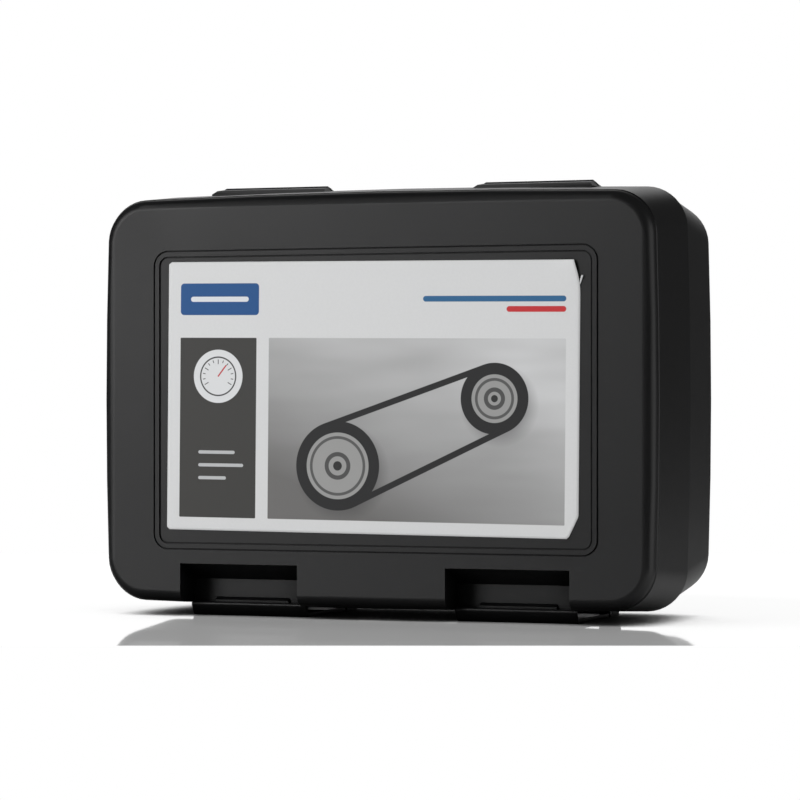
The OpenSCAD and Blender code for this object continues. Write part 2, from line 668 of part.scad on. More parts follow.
module tester_batteries() color("#c9a44a") at_batteries(pack_z - battery_len / 2) {
    cylinder(h = battery_len - door_t / 2, r = battery_r);
    cylinder(h = battery_len, r = battery_r / 3);
}
contact_t = door_t / 4;
contact_len = (pack_h - battery_len) / 2 - fit;
module tester_battery_contacts() color("silver") for (dir = [-1, 1])
    at_batteries(pack_z + dir * (pack_h / 2 - fit)) {
        translate([0, 0, -dir * contact_t / 2])
            cube([battery_r * 1.4, battery_r * 1.4, contact_t], center = true);
        translate([0, 0, dir < 0 ? 0 : fit - contact_len]) cylinder(h = contact_len - fit, r = battery_r / 4);
    }
module tester_screws() color("silver") at_corners(boss_at) {
    rod_y(tester_split_y - 2 * shell_wall, tester_t - front_shell_t + 2 * shell_wall - screw_r, screw_r);
    rod_y(tester_back_y - 2 * screw_r, screw_r * 3 / 2, screw_r * 2);
}
module tester_probe_socket() color("#55585c")
    at_tester(0, tester_h / 2) translate([0, socket_y, 0]) rotate_extrude() polygon([
        [0, -2 * socket_r], [socket_r, -2 * socket_r], [socket_r, fit / 2],
        [socket_r + shell_wall / 2, fit / 2], [socket_r + shell_wall / 2, shell_wall],
        [socket_r / 3, shell_wall], [socket_r / 3, -socket_r], [0, -socket_r]]);

// Measuring head, standing along Z in its pocket with its nose up
tube_top_z = head_len / 2 - nose_len;
tube_bottom_z = -head_len / 2 + gland_len;
tube_in_r = head_r - head_wall;
insert_r = tube_in_r - pin_clear;
flange_r = head_r + grip_t;
module at_head(z) translate([head_x, head_y, case_z + z]) children();
module head_tube() color("#202124") at_head(tube_bottom_z) difference() {
    cylinder(h = tube_top_z - tube_bottom_z, r = head_r);
    translate([0, 0, -over]) cylinder(h = tube_top_z - tube_bottom_z + 2 * over, r = tube_in_r);
}
module head_nose_ring() color("#9da1a6") at_head(tube_top_z) rotate_extrude() polygon([
    [lens_r - head_wall / 2, -nose_len / 2], [insert_r, -nose_len / 2], [insert_r, 0], [flange_r, 0],
    [flange_r, nose_len * 2 / 3], [head_r, nose_len], [lens_r + pin_clear, nose_len],
    [lens_r + pin_clear, nose_len / 2], [lens_r - head_wall / 2, nose_len / 2]]);
module head_lens() color([0.6, 0.2, 0.2, 0.7]) at_head(tube_top_z + nose_len / 2) rotate_extrude()
    polygon([[0, 0], [lens_r, 0], [lens_r, nose_len / 8], [lens_r / 2, nose_len / 5], [0, nose_len / 4]]);
module head_emitters() color("#e8e2e2") at_head(tube_top_z - nose_len / 2)
    for (side = [-1, 1]) translate([side * emitter_r * 1.3, 0, 0]) {
        cylinder(h = nose_len * 4 / 5, r = emitter_r);
        cylinder(h = emitter_r, r = emitter_r * 1.2);
    }
strip_half_w = tube_in_r * 0.85;
strip_z = tube_bottom_z + gland_len / 2 + fit;
module head_circuit_board() color("#1f5a36") at_head(strip_z) translate([-strip_half_w, -board_t / 2, 0])
    cube([2 * strip_half_w, board_t, tube_top_z - nose_len / 2 - fit - strip_z]);
module head_grip_sleeve() color("#35373a") at_head(0) difference() {
    union() {
        cylinder(h = grip_len, r = head_r + grip_t * 3 / 5, center = true);
        for (k = [0 : 6]) translate([0, 0, (k / 6 - 1 / 2) * (grip_len - 4 * grip_t)])
            cylinder(h = 2 * grip_t, r = flange_r, center = true);
    }
    cylinder(h = grip_len + 2 * over, r = head_r + pin_clear, center = true);
}
module head_cable_gland() color("#2b2c2f") at_head(tube_bottom_z) rotate_extrude() polygon([
    [head_r / 4, -gland_len], [head_r / 2, -gland_len], [head_r * 4 / 5, -gland_len / 3],
    [flange_r, -gland_len / 3], [flange_r, 0], [insert_r, 0], [insert_r, gland_len / 2],
    [head_r / 4, gland_len / 2]]);

lid_shell();
base_shell();
hinge_pin(-1);  // hinge_pin_left
hinge_pin(1);  // hinge_pin_right
latch(-1);  // latch_left
latch(1);  // latch_right
latch_pin(-1);  // latch_pin_left
latch_pin(1);  // latch_pin_right
label();
lid_foam();
base_foam();
tester_front_shell();
tester_back_shell();
tester_bezel();
tester_display_window();
tester_display_panel();
tester_circuit_board();
tester_keypad_mat();
tester_key(0, "#b03030");  // tester_key_power
tester_key(1, "#4a4d52");  // tester_key_up
tester_key(2, "#4a4d52");  // tester_key_down
tester_key(3, "#3d7a4a");  // tester_key_enter
tester_battery_door();
tester_batteries();
tester_battery_contacts();
tester_screws();
tester_probe_socket();
head_tube();
head_nose_ring();
head_lens();
head_emitters();
head_circuit_board();
head_grip_sleeve();
head_cable_gland();
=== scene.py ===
import bpy
import bmesh
import math
import numpy as np
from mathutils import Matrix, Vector


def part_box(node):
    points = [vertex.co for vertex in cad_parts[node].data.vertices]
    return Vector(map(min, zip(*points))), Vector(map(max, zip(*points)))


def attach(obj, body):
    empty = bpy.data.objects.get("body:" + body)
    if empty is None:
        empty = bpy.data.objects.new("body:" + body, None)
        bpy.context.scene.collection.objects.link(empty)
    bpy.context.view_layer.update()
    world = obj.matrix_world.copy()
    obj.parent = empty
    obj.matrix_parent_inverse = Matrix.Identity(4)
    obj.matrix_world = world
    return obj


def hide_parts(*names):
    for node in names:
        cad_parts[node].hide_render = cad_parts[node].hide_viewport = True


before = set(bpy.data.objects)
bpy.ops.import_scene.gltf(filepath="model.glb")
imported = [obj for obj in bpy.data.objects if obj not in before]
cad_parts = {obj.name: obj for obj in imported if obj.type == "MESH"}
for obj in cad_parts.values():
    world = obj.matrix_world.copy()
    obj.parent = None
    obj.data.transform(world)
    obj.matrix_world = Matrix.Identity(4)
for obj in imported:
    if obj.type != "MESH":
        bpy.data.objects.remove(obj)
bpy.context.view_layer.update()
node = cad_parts

# The photographer's camera: a long lens at half the height of the case, a fifth of a turn
# round to its right, so that the lid faces it and the right side is seen at a slant.
camera_turn = 0.3669
camera = bpy.data.objects.new("camera", bpy.data.cameras.new("camera"))
bpy.context.scene.collection.objects.link(camera)
camera.location = (0.5145, -1.3509, 0.09295)
camera.rotation_euler = (math.radians(90), 0, camera_turn)
camera.data.sensor_width = 36
camera.data.lens = 149.92
camera.data.clip_start = 0.05
camera.data.clip_end = 50
bpy.context.scene.camera = camera
bpy.context.scene.view_settings.view_transform = "Standard"


# The moulded lid. It comes out of its mould in one piece of charcoal-black plastic with a fine
# spark-eroded grain, a framed field for the label and two finger recesses over the latches.
def add(tree, kind, inputs=(), **settings):
    made = tree.nodes.new("ShaderNode" + kind)
    for key, value in settings.items():
        setattr(made, key, value)
    for key, value in dict(inputs).items():
        if isinstance(value, bpy.types.NodeSocket):
            tree.links.new(value, made.inputs[key])
        else:
            made.inputs[key].default_value = value
    return made


def calc(tree, operation, *values, clamp=False):
    return add(tree, "Math", dict(enumerate(values)), operation=operation, use_clamp=clamp).outputs[0]


def blend_colour(tree, share, low, high):
    mixed = add(tree, "Mix", {"Factor": share}, data_type="RGBA")
    for socket, value in ((mixed.inputs[6], low), (mixed.inputs[7], high)):
        if isinstance(value, bpy.types.NodeSocket):
            tree.links.new(value, socket)
        else:
            socket.default_value = (*value, 1)
    return mixed.outputs[2]


def new_group(name, inputs, outputs):
    group = bpy.data.node_groups.new(name, "ShaderNodeTree")
    for label, kind, value in inputs:
        socket = group.interface.new_socket(label, in_out="INPUT", socket_type="NodeSocket" + kind)
        if value is not None:
            socket.default_value = value
    for label, kind in outputs:
        group.interface.new_socket(label, in_out="OUTPUT", socket_type="NodeSocket" + kind)
    return group, group.nodes.new("NodeGroupInput").outputs, group.nodes.new("NodeGroupOutput").inputs


def place_group(tree, group, inputs=()):
    made = tree.nodes.new("ShaderNodeGroup")
    made.node_tree = group
    for key, value in dict(inputs).items():
        if isinstance(value, bpy.types.NodeSocket):
            tree.links.new(value, made.inputs[key])
        else:
            made.inputs[key].default_value = value
    return made.outputs


def new_material(name, **fixed):
    made = bpy.data.materials.new(name)
    made.use_nodes = True
    tree = made.node_tree
    shader = tree.nodes["Principled BSDF"]
    for label, value in fixed.items():
        shader.inputs[label.replace("_", " ")].default_value = value
    return made, tree, shader, add(tree, "TexCoord").outputs["Object"]


def raise_surface(tree, shader, height, depth):
    bump = add(tree, "Bump", {"Strength": 1.0, "Distance": depth, "Height": height})
    tree.links.new(bump.outputs["Normal"], shader.inputs["Normal"])


# fine eroded grain of a mould, with a slower mottle for the way the plastic has set
grain, enter, leave = new_group("mould_grain", [("Point", "Vector", None), ("Size", "Float", 0.0004)],
                                [("Grain", "Float"), ("Mottle", "Float")])
per_size = calc(grain, "DIVIDE", 1.0, enter["Size"])
pits = add(grain, "TexVoronoi", {"Vector": enter["Point"], "Scale": per_size})
speck = add(grain, "TexNoise", {"Vector": enter["Point"], "Scale": calc(grain, "MULTIPLY", per_size, 0.6),
                                "Detail": 3.0, "Roughness": 0.6})
grain.links.new(calc(grain, "ADD", calc(grain, "MULTIPLY", pits.outputs["Distance"], 0.5),
                     speck.outputs["Fac"]), leave["Grain"])
slow = add(grain, "TexNoise", {"Vector": enter["Point"], "Scale": 26.0, "Detail": 4.0, "Roughness": 0.55})
grain.links.new(slow.outputs["Fac"], leave["Mottle"])

# faint rub marks and dust, thickest where hands and shelves touch
handling, enter, leave = new_group("handling", [("Point", "Vector", None), ("Amount", "Float", 0.5)],
                                   [("Marks", "Float")])
stretched = add(handling, "Mapping", {"Vector": enter["Point"], "Scale": (9.0, 60.0, 30.0),
                                      "Rotation": (0.0, 0.5, 0.2)})
lines = add(handling, "TexNoise", {"Vector": stretched.outputs[0], "Scale": 14.0, "Detail": 5.0,
                                   "Roughness": 0.7})
patch = add(handling, "TexNoise", {"Vector": enter["Point"], "Scale": 17.0, "Detail": 2.0})
fine = add(handling, "MapRange", {"Value": lines.outputs["Fac"], "From Min": 0.56, "From Max": 0.78})
wide = add(handling, "MapRange", {"Value": patch.outputs["Fac"], "From Min": 0.45, "From Max": 0.7})
handling.links.new(calc(handling, "MULTIPLY", calc(handling, "MULTIPLY", fine.outputs[0], wide.outputs[0]),
                        enter["Amount"]), leave["Marks"])


def moulded(name, colour, roughness, grain_size=0.0004, depth=0.00002, marks=0.4, nook_shade_reach=0.0, **fixed):
    made, tree, shader, point = new_material(name, **fixed)
    skin = place_group(tree, grain, {"Point": point, "Size": grain_size})
    rubbed = place_group(tree, handling, {"Point": point, "Amount": marks})["Marks"]
    shade = blend_colour(tree, skin["Mottle"], [c * 0.86 for c in colour], [c * 1.14 for c in colour])
    pale = [min(1, c * 1.5 + 0.01) for c in colour]
    tree.links.new(blend_colour(tree, rubbed, shade, pale), shader.inputs["Base Color"])
    dull = add(tree, "MapRange", {"Value": skin["Mottle"], "To Min": roughness - 0.05,
                                  "To Max": roughness + 0.05})
    tree.links.new(calc(tree, "ADD", dull.outputs[0], calc(tree, "MULTIPLY", rubbed, 0.12)),
                   shader.inputs["Roughness"])
    raise_surface(tree, shader, skin["Grain"], depth)
    # painted shade in grooves, seams and recesses: ambient occlusion makes them metallic, and a metal as dark
    # as this mirrors least, so they go nearly black
    if nook_shade_reach:
        open_to = add(tree, "AmbientOcclusion", {"Distance": nook_shade_reach}, samples=8).outputs["AO"]
        painted_nook_shade = add(tree, "MapRange", {"Value": open_to, "From Min": 0.85, "From Max": 0.3, "To Max": 0.85})
        tree.links.new(painted_nook_shade.outputs[0], shader.inputs["Metallic"])
    return made


def soften(part, width, turn=34, segments=2):
    weld = part.modifiers.new("weld", "WELD")
    weld.merge_threshold = 0.00002
    flat = part.modifiers.new("flat", "DECIMATE")
    flat.decimate_type = "DISSOLVE"
    flat.angle_limit = math.radians(0.6)
    edge = part.modifiers.new("edge", "BEVEL")
    edge.width = width
    edge.segments = segments
    edge.limit_method = "ANGLE"
    edge.angle_limit = math.radians(turn)
    edge.harden_normals = True
    edge.miter_outer = "MITER_ARC"
    even = part.modifiers.new("even", "WEIGHTED_NORMAL")
    even.keep_sharp = True
    even.weight = 100


def finish_node(name, material, width=0.0003, turn=34):
    part = node[name]
    part.data.materials.clear()
    part.data.materials.append(material)
    for face in part.data.polygons:
        face.use_smooth = True
    if width:
        soften(part, width, turn)


# the case gets painted shade in its grooves and recesses, reaching 16 mm
case_plastic = moulded("case_black", (0.0062, 0.0062, 0.0066), 0.37, nook_shade_reach=0.016)
finish_node("lid_shell", case_plastic, 0.0004)

# The moulded base, of the same plastic. Its walls draw in a little towards the rounded back,
# and it carries the outer hinge knuckles and the ears of the latches.
finish_node("base_shell", case_plastic, 0.0004)

# The two snap latches, moulded flat in a slightly smoother black plastic. Each turns on a pin
# in the ears of the base and hooks its nose behind a ridge in the lid's recess.
# The front of its lip is drawn back below, for a fingertip.
# the latches get painted shade in their recesses, reaching 8 mm
latch_plastic = moulded("latch_black", (0.0055, 0.0055, 0.0058), 0.34, 0.0005, 0.000012, 0.5, 0.008)
lip_setback, lip_bevel_top = 0.0024, 0.0042
for side in ("left", "right"):
    data = node["latch_" + side].data.copy()
    data.name = "snap_latch_" + side
    snap = bpy.data.objects.new(data.name, data)
    bpy.context.scene.collection.objects.link(snap)
    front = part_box("latch_" + side)[0].y
    for corner in data.vertices:
        # the lower corners of the front face go up, and those of the underside go back
        if corner.co.y < front + 0.0001 and corner.co.z < 0.002:
            corner.co.z = lip_bevel_top
        elif corner.co.y < front + 0.0015 and corner.co.z < 0.0003:
            corner.co.y = front + lip_setback
    data.materials.clear()
    data.materials.append(latch_plastic)
    data.shade_smooth()
    soften(snap, 0.0003)
    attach(snap, "latch_" + side)
    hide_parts("latch_" + side)

# Straight steel pins, cut from drawn wire, pushed through the knuckles from one end.
steel, tree, shader, point = new_material("pin_steel", Metallic=1.0)
drawn = add(tree, "Mapping", {"Vector": point, "Scale": (20.0, 900.0, 900.0)})
streak = add(tree, "TexNoise", {"Vector": drawn.outputs[0], "Scale": 4.0, "Detail": 3.0}).outputs["Fac"]
tree.links.new(blend_colour(tree, streak, (0.42, 0.43, 0.45), (0.66, 0.67, 0.69)),
               shader.inputs["Base Color"])
tree.links.new(add(tree, "MapRange", {"Value": streak, "To Min": 0.22, "To Max": 0.4}).outputs[0],
               shader.inputs["Roughness"])
for pin in ("hinge_pin_left", "hinge_pin_right", "latch_pin_left", "latch_pin_right"):
    finish_node(pin, steel, 0.0001, 50)

# The printed film label, stuck by hand into the framed field and so a touch crooked. Its lower
# right corner is worn away and its upper right corner has begun to lift.
label_middle = Vector((-0.0007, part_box("label")[1].y, 0.0940))
label_half = (0.0930, 0.0575)
label_corner = 0.0013
film = 0.0002
worn_depth, worn_height = 0.0044, 0.0092
nick_depth, nick_height = 0.0006, 0.0008
cut_depth, cut_height = 0.0025, 0.0125
lift_height, lift_reach = 0.002, 0.017
curl_height, curl_reach = 0.0005, 0.014


def label_edge(v, right):
    """Distance of the label's left or right end from its middle line at height v."""
    half_w, half_h = label_half
    top, bottom = half_h - v, half_h + v
    if right:
        worn = worn_depth * max(0, 1 - bottom / worn_height)
        nick = nick_depth * max(0, 1 - bottom / nick_height) ** 2
        return half_w - (worn + nick) - cut_depth * max(0, 1 - top / cut_height) ** 1.6
    gap = min(top, bottom)
    if gap < label_corner:
        return half_w - label_corner + math.sqrt(max(0, label_corner ** 2 - (label_corner - gap) ** 2))
    return half_w


rows = np.linspace(-1, 1, 121)
columns = np.linspace(-1, 1, 145)
mesh = bmesh.new()
sheet = []
tilt = math.radians(0.5)
tilt_cos, tilt_sin = math.cos(tilt), math.sin(tilt)
for row in rows:
    v = row * label_half[1]
    ends = (-label_edge(v, False), label_edge(v, True))
    line = []
    for column in columns:
        u = ends[0] + (column + 1) / 2 * (ends[1] - ends[0])
        away = math.hypot(label_half[0] - u, label_half[1] - v)
        low = math.hypot(label_half[0] - u, label_half[1] + v)
        lift = lift_height * max(0, 1 - away / lift_reach) ** 2
        curl = curl_height * max(0, 1 - low / curl_reach) ** 3
        line.append(mesh.verts.new((label_middle.x + u * tilt_cos + v * tilt_sin,
                                    label_middle.y - film - (lift + curl),
                                    label_middle.z - u * tilt_sin + v * tilt_cos)))
    sheet.append(line)
for low, high in zip(sheet, sheet[1:]):
    for k in range(len(columns) - 1):
        mesh.faces.new((low[k], low[k + 1], high[k + 1], high[k])).smooth = True
# a torn strip that stands off the right edge below the lifted corner
strip = []
for k in range(7):
    up = k / 6
    v = label_half[1] - 0.0102 + 0.0037 * up
    u = label_half[0] - 0.0003
    strip.append([mesh.verts.new((label_middle.x + (u + across) * tilt_cos + v * tilt_sin,
                                  label_middle.y - film - 0.0001 - 0.0011 * up ** 2,
                                  label_middle.z - (u + across) * tilt_sin + v * tilt_cos))
                  for across in (0.0011 * up ** 2, 0.00025 + 0.0016 * up)])
for low, high in zip(strip, strip[1:]):
    mesh.faces.new((low[0], low[1], high[1], high[0])).smooth = True
data = bpy.data.meshes.new("printed_label")
mesh.to_mesh(data)
mesh.free()
label = bpy.data.objects.new("printed_label", data)
bpy.context.scene.collection.objects.link(label)
thick = label.modifiers.new("film", "SOLIDIFY")
thick.thickness = film * 0.9
thick.offset = -1

# masks of the print, drawn on the film in metres from its middle, with an edge as soft as wet ink
ink_edge = 0.00016
box_mask, enter, leave = new_group("print_box", [("Across", "Float", 0.0), ("Up", "Float", 0.0),
    ("Middle across", "Float", 0.0), ("Middle up", "Float", 0.0), ("Half width", "Float", 0.01),
    ("Half height", "Float", 0.01), ("Corner", "Float", 0.0005), ("Turn", "Float", 0.0)], [("Mask", "Float")])
dx = calc(box_mask, "SUBTRACT", enter["Across"], enter["Middle across"])
dy = calc(box_mask, "SUBTRACT", enter["Up"], enter["Middle up"])
cosine, sine = calc(box_mask, "COSINE", enter["Turn"]), calc(box_mask, "SINE", enter["Turn"])
along = calc(box_mask, "ADD", calc(box_mask, "MULTIPLY", dx, cosine), calc(box_mask, "MULTIPLY", dy, sine))
across = calc(box_mask, "SUBTRACT", calc(box_mask, "MULTIPLY", dy, cosine),
              calc(box_mask, "MULTIPLY", dx, sine))
out = []
for offset, half in ((along, "Half width"), (across, "Half height")):
    beyond = calc(box_mask, "SUBTRACT", calc(box_mask, "ABSOLUTE", offset), enter[half])
    out.append(calc(box_mask, "ADD", beyond, enter["Corner"]))
far = calc(box_mask, "SQRT", calc(box_mask, "ADD",
           *[calc(box_mask, "POWER", calc(box_mask, "MAXIMUM", o, 0.0), 2.0) for o in out]))
near = calc(box_mask, "MINIMUM", calc(box_mask, "MAXIMUM", *out), 0.0)
distance = calc(box_mask, "SUBTRACT", calc(box_mask, "ADD", far, near), enter["Corner"])
box_mask.links.new(calc(box_mask, "SUBTRACT", 0.5, calc(box_mask, "DIVIDE", distance, ink_edge), clamp=True),
                   leave["Mask"])

ring_mask, enter, leave = new_group("print_ring", [("Across", "Float", 0.0), ("Up", "Float", 0.0),
    ("Middle across", "Float", 0.0), ("Middle up", "Float", 0.0), ("Radius", "Float", 0.01),
    ("Half line", "Float", 0.001)], [("Mask", "Float")])
dx = calc(ring_mask, "SUBTRACT", enter["Across"], enter["Middle across"])
dy = calc(ring_mask, "SUBTRACT", enter["Up"], enter["Middle up"])
from_middle = calc(ring_mask, "SQRT", calc(ring_mask, "ADD", calc(ring_mask, "POWER", dx, 2.0),
                                           calc(ring_mask, "POWER", dy, 2.0)))
from_line = calc(ring_mask, "SUBTRACT", calc(ring_mask, "ABSOLUTE", calc(ring_mask, "SUBTRACT", from_middle,
                 enter["Radius"])), enter["Half line"])
ring_mask.links.new(calc(ring_mask, "SUBTRACT", 0.5, calc(ring_mask, "DIVIDE", from_line, ink_edge),
                         clamp=True), leave["Mask"])

print_film, tree, shader, point = new_material("label_print", Specular_IOR_Level=0.35)
at = add(tree, "SeparateXYZ", {0: point}).outputs
right = calc(tree, "SUBTRACT", at["X"], label_middle.x)
above = calc(tree, "SUBTRACT", at["Z"], label_middle.z)
u = calc(tree, "SUBTRACT", calc(tree, "MULTIPLY", right, tilt_cos), calc(tree, "MULTIPLY", above, tilt_sin))
v = calc(tree, "ADD", calc(tree, "MULTIPLY", above, tilt_cos), calc(tree, "MULTIPLY", right, tilt_sin))


def box_at(x, z, half_w, half_h, corner=0.0004, turn=0.0):
    return place_group(tree, box_mask, {"Across": u, "Up": v, "Middle across": x, "Middle up": z,
                       "Half width": half_w, "Half height": half_h, "Corner": corner, "Turn": turn})["Mask"]


def ring_at(x, z, radius, half_line):
    return place_group(tree, ring_mask, {"Across": u, "Up": v, "Middle across": x, "Middle up": z,
                       "Radius": radius, "Half line": half_line})["Mask"]


def both(a, b):
    return calc(tree, "MULTIPLY", a, b)


paper_noise = add(tree, "TexNoise", {"Vector": point, "Scale": 900.0, "Detail": 2.0}).outputs["Fac"]
ink = blend_colour(tree, paper_noise, (0.667, 0.672, 0.675), (0.702, 0.708, 0.712))
# a wide picture panel in greys on the right and a narrow dark panel on the left
picture = box_at(0.0205, -0.0135, 0.0665, 0.0385)
sky = add(tree, "MapRange", {"Value": calc(tree, "ADD", calc(tree, "MULTIPLY", u, 0.4), v),
                             "From Min": -0.05, "From Max": 0.04}).outputs[0]
level_streaks = add(tree, "Mapping", {"Vector": point, "Scale": (6.0, 1.0, 30.0)}).outputs[0]
cloud = add(tree, "TexNoise", {"Vector": level_streaks, "Scale": 2.0, "Detail": 2.0}).outputs["Fac"]
backdrop = blend_colour(tree, calc(tree, "MULTIPLY", sky, calc(tree, "ADD", cloud, 0.45), clamp=True),
                        (0.16, 0.157, 0.154), (0.62, 0.625, 0.63))
ink = blend_colour(tree, picture, ink, backdrop)
# a belt round two pulleys, drawn as a plain diagram across the picture
pulleys = ((-0.0140, -0.0290, 0.0165), (0.0560, 0.0000, 0.0125))
slope = math.atan2(pulleys[1][1] - pulleys[0][1], pulleys[1][0] - pulleys[0][0])
span = math.hypot(pulleys[1][0] - pulleys[0][0], pulleys[1][1] - pulleys[0][1])
lean = math.asin((pulleys[0][2] - pulleys[1][2]) / span)
shadow_u, shadow_v = 0.0022, -0.0028
belt_outside, belt_half = 0.0011, 0.0013
for (x, z, r) in pulleys:
    soft = add(tree, "MapRange", {"Value": calc(tree, "SQRT", calc(tree, "ADD",
        calc(tree, "POWER", calc(tree, "SUBTRACT", u, x + shadow_u), 2.0),
        calc(tree, "POWER", calc(tree, "SUBTRACT", v, z + shadow_v), 2.0))),
        "From Min": r + 0.005, "From Max": r - 0.002}).outputs[0]
    ink = blend_colour(tree, both(both(soft, picture), 0.55), ink, (0.06, 0.06, 0.06))
for sign in (1, -1):
    angle = slope + sign * (math.pi / 2 - lean)
    ends = [(x + (r + belt_outside) * math.cos(angle), z + (r + belt_outside) * math.sin(angle))
            for x, z, r in pulleys]
    middle = ((ends[0][0] + ends[1][0]) / 2, (ends[0][1] + ends[1][1]) / 2)
    turn = math.atan2(ends[1][1] - ends[0][1], ends[1][0] - ends[0][0])
    half = math.hypot(ends[1][0] - ends[0][0], ends[1][1] - ends[0][1]) / 2
    belt = both(box_at(*middle, half, belt_half, 0.0003, turn), picture)
    ink = blend_colour(tree, belt, ink, (0.022, 0.022, 0.023))
for x, z, r in pulleys:
    for radius, line, colour in ((r / 2, r / 2, (0.33, 0.33, 0.325)), (r, 0.0024, (0.022, 0.022, 0.023)),
                                 (r - 0.0045, 0.0006, (0.1, 0.1, 0.1)), (r * 0.3, 0.0009, (0.08, 0.08, 0.08)),
                                 (r * 0.06, r * 0.06, (0.03, 0.03, 0.03))):
        ink = blend_colour(tree, both(ring_at(x, z, radius, line), picture), ink, colour)
# the dark panel with a plain disc and the marks of a round scale
dial_x, dial_z = -0.0695, 0.0085
dark = box_at(dial_x, -0.0135, 0.0178, 0.0385)
ink = blend_colour(tree, dark, ink, (0.05, 0.0492, 0.0465))
ink = blend_colour(tree, ring_at(dial_x, dial_z, 0.0056, 0.0058), ink, (0.72, 0.73, 0.74))
ink = blend_colour(tree, ring_at(dial_x, dial_z, 0.0082, 0.0003), ink, (0.05, 0.05, 0.05))
for k in range(13):
    a = math.radians(210 - 20 * k)
    r = 0.0066 if k % 3 else 0.0062
    ink = blend_colour(tree, box_at(dial_x + r * math.cos(a), dial_z + r * math.sin(a),
                       0.0006 if k % 3 else 0.001, 0.00018, 0.0001, a), ink, (0.06, 0.06, 0.06))
pointer = box_at(-0.0677, 0.0108, 0.0031, 0.0003, 0.0003, math.radians(52))
ink = blend_colour(tree, pointer, ink, (0.5, 0.03, 0.04))
for k, half in enumerate((0.0085, 0.0105, 0.0065)):
    dash = box_at(-0.0785 + half, -0.024 - 0.0055 * k, half, 0.0007, 0.0007)
    ink = blend_colour(tree, dash, ink, (0.5, 0.51, 0.52))
# blue and red bars along the head of the label
ink = blend_colour(tree, box_at(-0.069, 0.0415, 0.0183, 0.0068, 0.0016), ink, (0.018, 0.085, 0.25))
ink = blend_colour(tree, box_at(-0.069, 0.0415, 0.0135, 0.0011, 0.0011), ink, (0.72, 0.74, 0.77))
ink = blend_colour(tree, box_at(0.0555, 0.0415, 0.0315, 0.0012, 0.0012), ink, (0.03, 0.13, 0.28))
ink = blend_colour(tree, box_at(0.074, 0.0372, 0.013, 0.0012, 0.0012), ink, (0.55, 0.035, 0.04))
tree.links.new(ink, shader.inputs["Base Color"])
tree.links.new(add(tree, "MapRange", {"Value": paper_noise, "To Min": 0.42, "To Max": 0.52}).outputs[0],
               shader.inputs["Roughness"])
raise_surface(tree, shader, paper_noise, 0.000004)
label.data.materials.append(print_film)
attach(label, "lid")
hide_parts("label")


# The foam inserts, cut from dark closed-cell foam. The knife leaves the edges of the pockets
# soft, and the pad in the lid is convoluted so that it holds what lies in the base.
foam_cells, tree, shader, point = new_material("foam_grey", Specular_IOR_Level=0.15, Sheen_Weight=0.25,
                                               Sheen_Roughness=0.5)
small = add(tree, "TexVoronoi", {"Vector": point, "Scale": 1500.0}).outputs["Distance"]
large = add(tree, "TexNoise", {"Vector": point, "Scale": 240.0, "Detail": 4.0,
                               "Roughness": 0.6}).outputs["Fac"]
cells = calc(tree, "ADD", small, calc(tree, "MULTIPLY", large, 0.6))
tree.links.new(blend_colour(tree, cells, (0.026, 0.027, 0.03), (0.062, 0.063, 0.067)),
               shader.inputs["Base Color"])
tree.links.new(add(tree, "MapRange", {"Value": cells, "To Min": 0.95, "To Max": 0.8}).outputs[0],
               shader.inputs["Roughness"])
raise_surface(tree, shader, cells, 0.00025)


def cut_foam(name, cad_name, body, voxel, shape):
    data = node[cad_name].data.copy()
    data.name = name
    piece = bpy.data.objects.new(name, data)
    bpy.context.scene.collection.objects.link(piece)
    grid = piece.modifiers.new("cells", "REMESH")
    grid.mode = "VOXEL"
    grid.voxel_size = voxel
    relax = piece.modifiers.new("relax", "SMOOTH")
    relax.factor = 0.6
    relax.iterations = 4
    made = bpy.data.meshes.new_from_object(piece.evaluated_get(bpy.context.evaluated_depsgraph_get()))
    piece.modifiers.clear()
    piece.data = made
    points = np.empty(len(made.vertices) * 3)
    made.vertices.foreach_get("co", points)
    points = points.reshape(-1, 3)
    made.vertices.foreach_set("co", shape(points).ravel())
    made.materials.clear()
    made.materials.append(foam_cells)
    made.shade_smooth()
    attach(piece, body)
    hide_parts(cad_name)


pad_middle_z, pad_border, pad_fade = 0.0929, 0.006, 0.012
wave_pitch, wave_depth = 0.024, 0.0085


def crate(points):
    """Press the open side of the lid's pad into waves that fade out towards its border."""
    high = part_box("lid_foam")[1]
    top = np.clip((points[:, 1] - (high.y - pad_fade)) / pad_fade, 0, 1)
    up = points[:, 2] - pad_middle_z
    waves = np.cos(points[:, 0] * math.tau / wave_pitch) * np.cos(up * math.tau / wave_pitch)
    inside = np.minimum((high.x - pad_border - np.abs(points[:, 0])) / pad_fade,
                        (high.z - pad_border - pad_middle_z - np.abs(up)) / pad_fade)
    inside = np.clip(inside, 0, 1)
    points[:, 1] -= top * inside * (0.5 - 0.5 * waves) * wave_depth
    return points


cut_foam("lid_foam_pad", "lid_foam", "lid", 0.0019, crate)
cut_foam("base_foam_block", "base_foam", "base", 0.0017, lambda points: points)

# The shells of the hand-held tester, moulded in dark grey plastic and closed by four screws,
# with a sliding door over the batteries at the back.
tester_plastic = moulded("tester_front", (0.055, 0.057, 0.062), 0.48, 0.0005, 0.000014, 0.35)
back_plastic = moulded("tester_back", (0.03, 0.031, 0.034), 0.52, 0.0005, 0.000014, 0.35)
finish_node("tester_front_shell", tester_plastic, 0.0004)
finish_node("tester_back_shell", back_plastic, 0.0004)
finish_node("tester_battery_door", back_plastic, 0.0002)

